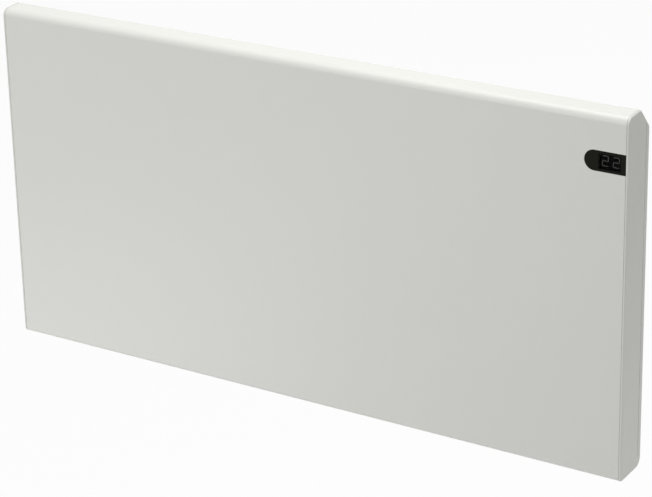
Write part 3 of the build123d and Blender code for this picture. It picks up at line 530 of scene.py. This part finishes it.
tray_plastic = moulded("tray plastic", (0.56, 0.56, 0.54, 1), (0.52, 0.52, 0.50, 1), roughness=0.5)
relay_plastic = moulded(
    "relay case", (0.020, 0.055, 0.170, 1), (0.016, 0.045, 0.150, 1), roughness=0.28
)
terminal_plastic = moulded("terminal plastic", grey(0.060), grey(0.050), roughness=0.45)
capacitor_plastic = moulded(
    "capacitor case", (0.62, 0.46, 0.04, 1), (0.57, 0.42, 0.03, 1), roughness=0.35
)
ribbon_plastic = moulded(
    "ribbon insulation", (0.36, 0.36, 0.37, 1), (0.32, 0.32, 0.33, 1), roughness=0.4
)
for node, material in {
    "control_board": board_resist,
    "power_board": board_resist,
    "board_tray": tray_plastic,
    "power_relay": relay_plastic,
    "supply_transformer": core_metal,
    "filter_capacitor": capacitor_plastic,
    "terminal_block": terminal_plastic,
    "ribbon_cable": ribbon_plastic,
}.items():
    show_node(node, material)

# ---------------------------------------------------------------------------------------------
# Heating element. A steel-sheathed core in an extruded aluminium profile, in ceramic bushes, on
# galvanised supports, with a galvanised baffle in front and a shield before the electronics.
# ---------------------------------------------------------------------------------------------
spangle_scale = 160.0
spangle_roughness = 0.12
line_stretch = 2.0
line_detail = 3.0
line_relief = 0.1
line_depth = 0.1 * MM
line_roughness = 0.15


def zinc_coat(name, light, dark, roughness):
    """Galvanised sheet: a faint spangle of crystals that changes both colour and gloss."""
    zinc = Finish(name)
    spangle = zinc.node(
        "ShaderNodeTexVoronoi", {"feature": "F1"}, Vector=zinc.place, Scale=spangle_scale
    )
    return zinc.look(
        Base_Color=zinc.blend(spangle, dark, light),
        Metallic=1.0,
        Roughness=roughness + spangle * spangle_roughness,
    )


def drawn(name, light, dark, roughness, pitch):
    """Drawn or extruded metal: fine lines along the heater's length."""
    metal = Finish(name)
    stretched = metal.node(
        "ShaderNodeMapping", Vector=metal.place, Scale=(line_stretch, pitch, pitch)
    )
    lines = metal.node("ShaderNodeTexNoise", Vector=stretched, Scale=1.0, Detail=line_detail)
    metal.grain(lines, line_relief, line_depth)
    return metal.look(
        Base_Color=metal.blend(lines, dark, light),
        Metallic=1.0,
        Roughness=roughness + lines * line_roughness,
    )


galvanised = zinc_coat(
    "galvanised sheet", (0.58, 0.59, 0.60, 1), (0.46, 0.47, 0.48, 1), roughness=0.34
)
bright_zinc = zinc_coat(
    "bright zinc plate", (0.62, 0.63, 0.64, 1), (0.54, 0.55, 0.56, 1), roughness=0.24
)
profile_metal = drawn(
    "extruded aluminium", (0.76, 0.76, 0.77, 1), (0.66, 0.66, 0.67, 1), roughness=0.26, pitch=900.0
)
sheath_metal = drawn(
    "heat-toned sheath", (0.42, 0.39, 0.34, 1), (0.33, 0.30, 0.27, 1), roughness=0.30, pitch=1500.0
)
ceramic = moulded(
    "unglazed ceramic", (0.82, 0.80, 0.74, 1), (0.77, 0.75, 0.69, 1), roughness=0.7
)
for node, material in {
    "element_fins": profile_metal,
    "element_bushes": ceramic,
    "element_support_left": galvanised,
    "element_support_right": galvanised,
    "front_baffle": galvanised,
    "heat_shield": galvanised,
}.items():
    show_node(node, material)
dress("element_core", "heater", sheath_metal, "sheath_steel")
dress("thermal_cutout", "heater", bright_zinc, "zinc_steel")

# ---------------------------------------------------------------------------------------------
# Wires and sensor. Silicone-covered leads run low behind the element in nylon clips, and a bead
# thermistor stands in a small holder over the intake.
# ---------------------------------------------------------------------------------------------
silicone = moulded("white silicone", (0.78, 0.78, 0.75, 1), (0.73, 0.73, 0.70, 1), roughness=0.55)
nylon = moulded("natural nylon", (0.72, 0.72, 0.69, 1), (0.68, 0.68, 0.65, 1), roughness=0.42)
bead_epoxy = moulded("black epoxy", grey(0.030), grey(0.022), roughness=0.3)
lead_crease = math.radians(80.0)
dress("element_leads", "heater", silicone, "lead_silicone", lead_crease)
dress("room_sensor", "heater", bead_epoxy, "sensor_epoxy")
show_node("lead_clips", nylon)
show_node("sensor_holder", tray_plastic)

# ---------------------------------------------------------------------------------------------
# Cable entry. A black rubber grommet snapped into the rear panel, empty as delivered, and a
# brass tab beside it for the earth wire.
# ---------------------------------------------------------------------------------------------
grommet_edge = 0.5 * MM
sharp_angle = math.radians(40.0)
brass_light = (0.66, 0.51, 0.23, 1.0)
brass_dark = (0.58, 0.44, 0.18, 1.0)
brass_roughness = 0.26
brass_cloud_scale = 120.0
brass_cloud_roughness = 0.1


def soften(made, width, steps=3):
    """Rounds every sharp edge of a piece, then keeps its flat faces flat."""
    modify(
        made,
        "BEVEL",
        width=width,
        segments=steps,
        limit_method="ANGLE",
        angle_limit=sharp_angle,
    )
    modify(made, "WEIGHTED_NORMAL")


grommet_rubber = moulded("black rubber", grey(0.032), grey(0.022), roughness=0.65)
soften(dress("cable_grommet", "heater", grommet_rubber, "grommet_rubber"), grommet_edge)
tab_alloy = Finish("bright brass")
tab_cloud = tab_alloy.noise(brass_cloud_scale)
tab_brass = tab_alloy.look(
    Base_Color=tab_alloy.blend(tab_cloud, brass_dark, brass_light),
    Metallic=1.0,
    Roughness=brass_roughness + tab_cloud * brass_cloud_roughness,
)
show_node("earth_tab", tab_brass)

# ---------------------------------------------------------------------------------------------
# Power switch. A black snap-in rocker on the underside: a bar on the half that switches on and a
# ring on the half that switches off, both printed white.
# ---------------------------------------------------------------------------------------------
bezel_round = 0.25 * MM
rocker_round = 0.35 * MM
switch_plastic = moulded("switch nylon", grey(0.022), grey(0.016), roughness=0.3)
print_white = moulded(
    "white print", (0.80, 0.80, 0.79, 1), (0.76, 0.76, 0.75, 1), roughness=0.5
)
soften(dress("switch_housing", "heater", switch_plastic, "switch_black"), bezel_round)
soften(dress("power_rocker", "rocker", switch_plastic, "switch_black"), rocker_round)
show_node("switch_tags", tab_brass)

rocker_hinge = next(joint for joint in frame["joints"] if joint["name"] == "rocker_tilt")
pivot = Vector(rocker_hinge["pos_m"])
rest_tilt = math.radians(9.0)
crown_drop = 4.0 * MM
mark_from_pivot = 4.6 * MM
print_height = 0.03 * MM
print_line = 0.55 * MM
bar_length = 3.4 * MM
ring_radius = 1.5 * MM
ring_sides = 32


def print_mark(made, side):
    """Lays a flat mark on one half of the rocker, which slopes away from the crown."""
    slope = side * rest_tilt
    drop = crown_drop + mark_from_pivot * math.tan(rest_tilt)
    made.data.transform(Matrix.Rotation(slope, 4, "Y"))
    made.data.transform(Matrix.Translation((side * mark_from_pivot, 0, -drop)))
    made.data.transform(Matrix.Rotation(-rest_tilt, 4, "Y"))
    made.data.transform(Matrix.Translation(pivot))
    finish_piece(made, "rocker", print_white, "switch_black")


on_mark = begin_with(
    bpy.ops.mesh.primitive_cube_add, size=1, scale=(print_line, bar_length, 2 * print_height)
)
on_mark.name = "rocker_on_mark"
bpy.ops.object.transform_apply(scale=True)
start_edit(on_mark)
bpy.ops.mesh.bevel(offset=print_height, segments=1)
end_edit()
print_mark(on_mark, -1)

off_mark = begin_with(
    bpy.ops.mesh.primitive_circle_add, vertices=ring_sides, radius=ring_radius, fill_type="NGON"
)
off_mark.name = "rocker_off_mark"
start_edit(off_mark)
bpy.ops.mesh.inset(thickness=print_line)
bpy.ops.mesh.delete(type="FACE")
end_edit()
modify(off_mark, "SOLIDIFY", thickness=2 * print_height, offset=0)
print_mark(off_mark, 1)

# ---------------------------------------------------------------------------------------------
# Casing screws. Zinc-plated tapping screws with a cross recess: four with hexagon heads hold the
# end caps from behind, and two with low, domed heads join the panels underneath.
# ---------------------------------------------------------------------------------------------
head_radius = 3.2 * MM
hexagon_sides = 6
hexagon_height = 1.9 * MM
hexagon_half_width = 0.866 * head_radius
hexagon_edge = 0.35 * MM
hexagon_recess = 1.1 * MM
dome_height = 1.0 * MM
dome_recess = 0.7 * MM
dome_segments = 24
dome_rings = 12
shank_radius = 1.45 * MM
recess_width = 0.75 * MM
recess_reach = 3.4 * MM
screw_crease = math.radians(35.0)
mostly_down = -0.9


def is_underside(face):
    """Tells the face that a head rests on."""
    return face.normal.z < mostly_down


def is_top_rim(edge):
    """Tells the edges round the top of a hexagon head."""
    return all(vertex.co.z > hexagon_height / 2 for vertex in edge.verts)


def draw_shank(head, rim, length):
    """Insets the underside of a head by its rim and draws a plain shank out of it."""
    start_edit(head, "faces", is_underside)
    bpy.ops.mesh.inset(thickness=rim)
    bpy.ops.mesh.extrude_region_move(TRANSFORM_OT_translate={"value": (0, 0, -length)})
    end_edit()


def press_cross(head, top, depth):
    """Presses a cross recess into the top of a head."""
    for quarter in (0, math.pi / 2):
        cutter = begin_with(
            bpy.ops.mesh.primitive_cube_add,
            size=1,
            location=(0, 0, top),
            rotation=(0, 0, quarter),
            scale=(recess_reach, recess_width, 2 * depth),
        )
        modify(head, "BOOLEAN", object=cutter, operation="DIFFERENCE", solver="EXACT")
        bpy.data.objects.remove(cutter)
    bpy.ops.object.shade_smooth_by_angle(angle=screw_crease)


def screw_row(node, name, pattern, places, turn):
    """One row of equal screws, copied from one pattern, that stands for a CAD node."""
    screws = [copied(pattern, place, turn) for place in places]
    bpy.data.objects.remove(pattern)
    finish_piece(join(screws, name), "heater", bright_zinc, "zinc_steel", node)


low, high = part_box("end_cap_screws")
rear_seat = high.y - hexagon_height
rear_corners = [
    (x, rear_seat, z)
    for x in (low.x + head_radius, high.x - head_radius)
    for z in (low.z + head_radius, high.z - head_radius)
]
hexagon = begin_with(
    bpy.ops.mesh.primitive_cylinder_add,
    vertices=hexagon_sides,
    radius=head_radius,
    depth=hexagon_height,
    location=(0, 0, hexagon_height / 2),
)
bpy.ops.object.transform_apply(location=True)
draw_shank(hexagon, hexagon_half_width - shank_radius, rear_seat - low.y)
start_edit(hexagon, "edges", is_top_rim)
bpy.ops.mesh.bevel(offset=hexagon_edge, segments=3)
end_edit()
press_cross(hexagon, hexagon_height, hexagon_recess)
facing_wall = Matrix.Rotation(-math.pi / 2, 4, "X")
screw_row("end_cap_screws", "rear_cap_screws", hexagon, rear_corners, facing_wall)

low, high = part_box("underside_screws")
floor_seat = low.z + hexagon_height
row_y = (low.y + high.y) / 2
floor_pair = [(x, row_y, floor_seat) for x in (low.x + head_radius, high.x - head_radius)]
dome = begin_with(
    bpy.ops.mesh.primitive_uv_sphere_add,
    segments=dome_segments,
    ring_count=dome_rings,
    radius=head_radius,
    scale=(1, 1, dome_height / head_radius),
)
bpy.ops.object.transform_apply(scale=True)
start_edit(dome)
bpy.ops.mesh.bisect(plane_co=(0, 0, 0), plane_no=(0, 0, 1), clear_inner=True, use_fill=True)
end_edit()
draw_shank(dome, head_radius - shank_radius, high.z - floor_seat)
press_cross(dome, dome_height, dome_recess)
facing_down = Matrix.Rotation(math.pi, 4, "X")
screw_row("underside_screws", "toe_screws", dome, floor_pair, facing_down)

# ---------------------------------------------------------------------------------------------
# Wall bracket. Two folded steel legs with hooks, joined by two crossbars and powder coated, with
# a bare leaf spring on each leg that catches a window in the rear panel.
# ---------------------------------------------------------------------------------------------
bracket_light = (0.60, 0.60, 0.58, 1.0)
bracket_dark = (0.565, 0.565, 0.545, 1.0)
fold_round = 0.3 * MM
bracket_coat = powder_coat("bracket powder coat", bracket_light, bracket_dark)
for node in ("bracket_leg_left", "bracket_leg_right", "crossbar_lower", "crossbar_upper"):
    soften(dress(node, "wall_bracket", bracket_coat, "bracket_paint"), fold_round, steps=2)
leaves = dress("bracket_springs", "wall_bracket", spring_metal, "spring_steel")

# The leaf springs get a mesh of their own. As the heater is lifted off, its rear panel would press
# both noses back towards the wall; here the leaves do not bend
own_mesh(leaves)

# ---------------------------------------------------------------------------------------------
# Stage. A pale floor under the hung heater, soft studio light that is brightest from above, and
# the camera. What the camera sees of the floor and the air is white, and the shadow stays.
# ---------------------------------------------------------------------------------------------
floor_level = -0.9
floor_reach = 12.0
floor_patch_scale = 2.0
white_share = 0.94
ambient = 0.445


def looked_at(shading):
    """One for what the camera sees directly, in a mirror or through glass, and zero for light."""
    seen = shading.node("ShaderNodeLightPath", output="Is Camera Ray")
    for ray in ("Is Glossy Ray", "Is Transmission Ray"):
        path = shading.node("ShaderNodeLightPath", output=ray)
        seen = shading.node(
            "ShaderNodeMath", {"operation": "MAXIMUM"}, numbered={0: seen, 1: path}
        )
    return seen


floor = begin_with(
    bpy.ops.mesh.primitive_plane_add, size=floor_reach, location=(0, 0, floor_level)
)
floor.name = "floor"
floor_paint = Finish("pale floor")
floor_paint.look(
    Base_Color=floor_paint.blend(floor_paint.noise(floor_patch_scale), grey(0.80), grey(0.84)),
    Roughness=0.9,
)
whitened = floor_paint.node(
    "ShaderNodeMixShader",
    numbered={
        0: looked_at(floor_paint) * white_share,
        1: Wire(floor_paint.shader.outputs[0]),
        2: floor_paint.node("ShaderNodeEmission"),
    },
)
# From below the floor lets the view through, so that the heater's underside can be looked at
see_through = floor_paint.node(
    "ShaderNodeMixShader",
    numbered={
        0: floor_paint.node("ShaderNodeNewGeometry", output="Backfacing"),
        1: whitened,
        2: floor_paint.node("ShaderNodeBsdfTransparent"),
    },
)
feed(floor_paint.tree.nodes["Material Output"], Surface=see_through)
paint(floor.data, floor_paint.material)

world = bpy.data.worlds.new("studio")
bpy.context.scene.world = world
world.use_nodes = True
air = Shading(world.node_tree)
feed(
    air.tree.nodes["Background"],
    Color=grey(1.0),
    Strength=ambient + looked_at(air) * (1 - ambient),
)


def softbox(name, place, target, width, height, power):
    """A large, even area lamp at a place, turned to a target point."""
    lamp = bpy.data.lights.new(name, "AREA")
    lamp.shape = "RECTANGLE"
    lamp.size = width
    lamp.size_y = height
    lamp.energy = power
    made = bpy.data.objects.new(name, lamp)
    bpy.context.collection.objects.link(made)
    made.location = place
    made.rotation_euler = (Vector(target) - Vector(place)).to_track_quat("-Z", "Y").to_euler()


softbox("top", (0.03, -0.05, 1.6), (0.03, -0.05, 0.1), width=0.84, height=1.2, power=21.0)
softbox("front", (-0.6, -2.4, 0.3), (0.0, -0.08, 0.0), width=1.3, height=1.1, power=14.0)
softbox("low left", (-0.9, -0.95, -0.7), (-0.2, -0.08, -0.05), width=0.6, height=0.4, power=2.4)
softbox("low right", (1.2, 0.15, -0.75), (0.36, -0.05, -0.05), width=0.5, height=0.4, power=2.2)
softbox("behind", (0.3, 2.9, 0.7), (0.0, 0.0, 0.0), width=1.8, height=1.2, power=16.5)

# Camera: a long lens from the right and above, shifted a little to centre the heater
view_pixels = 652.0
focal_pixels = 2448.0
camera_place = (1.232, -1.984, 0.925)
camera_yaw = math.radians(32.20)
camera_pitch = math.radians(21.11)
camera_roll = math.radians(-1.29)
camera_slide = 0.003
camera_shift = -0.10
eye = bpy.data.cameras.new("camera")
camera = bpy.data.objects.new("camera", eye)
bpy.context.collection.objects.link(camera)
bpy.context.scene.camera = camera
eye.lens = focal_pixels / view_pixels * eye.sensor_width
eye.shift_x = camera_slide
eye.shift_y = camera_shift
heading = Matrix.Rotation(camera_yaw, 4, "Z")
tip = Matrix.Rotation(math.pi / 2 - camera_pitch, 4, "X")
lean = Matrix.Rotation(camera_roll, 4, "Z")
camera.matrix_world = Matrix.Translation(camera_place) @ heading @ tip @ lean

bpy.context.scene.view_settings.view_transform = "Standard"
